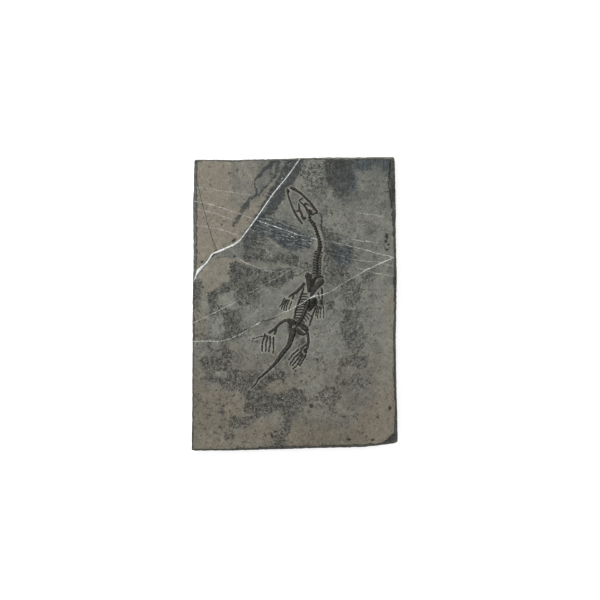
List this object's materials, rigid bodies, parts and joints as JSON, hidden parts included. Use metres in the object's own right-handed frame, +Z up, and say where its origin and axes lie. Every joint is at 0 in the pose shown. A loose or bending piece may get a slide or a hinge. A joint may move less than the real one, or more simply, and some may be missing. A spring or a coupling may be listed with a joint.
{
  "type": "fossil slab",
  "caption": "Fossil marine reptile slab: the skeleton of a small long-necked reptile in low relief on a trimmed grey limestone plate crossed by white calcite veins.",
  "frame": {"origin": "the middle of the underside, on the surface that the slab rests on", "axes": "+Z up, out of the face that bears the skeleton; +Y along the slab's long side, towards the animal's head; +X to the right as seen from above"},
  "size_m": [0.1754, 0.2498, 0.0163],
  "materials": {
    "limestone": "matt, fine-grained",
    "fossil_bone": "dark, slightly waxy"
  },
  "bodies": {
    "root": {"slab": "limestone", "jaw_left": "fossil_bone", "jaw_right": "fossil_bone", "palate_left": "fossil_bone", "palate_right": "fossil_bone", "neck": "fossil_bone", "shoulder_vertebrae": "fossil_bone", "backbone_and_ribs": "fossil_bone", "belly_ribs": "fossil_bone", "tail": "fossil_bone", "shoulder_left": "fossil_bone", "shoulder_right": "fossil_bone", "collar_bone": "fossil_bone", "hip_left": "fossil_bone", "hip_right": "fossil_bone", "ischium": "fossil_bone", "humerus_left": "fossil_bone", "radius_left": "fossil_bone", "ulna_left": "fossil_bone", "humerus_right": "fossil_bone", "radius_right": "fossil_bone", "ulna_right": "fossil_bone", "wrist_right": "fossil_bone", "femur_left": "fossil_bone", "tibia_left": "fossil_bone", "fibula_left": "fossil_bone", "femur_right": "fossil_bone", "tibia_right": "fossil_bone", "fibula_right": "fossil_bone", "ankle_right": "fossil_bone", "finger_left_1": "fossil_bone", "finger_left_2": "fossil_bone", "finger_left_3": "fossil_bone", "finger_left_4": "fossil_bone", "finger_left_5": "fossil_bone", "finger_right_1": "fossil_bone", "finger_right_2": "fossil_bone", "finger_right_3": "fossil_bone", "finger_right_4": "fossil_bone", "toe_left_1": "fossil_bone", "toe_left_2": "fossil_bone", "toe_left_3": "fossil_bone", "toe_left_4": "fossil_bone", "toe_left_5": "fossil_bone", "toe_right_1": "fossil_bone", "toe_right_2": "fossil_bone", "toe_right_3": "fossil_bone", "toe_right_4": "fossil_bone", "toe_right_5": "fossil_bone"}
  },
  "joints": []
}
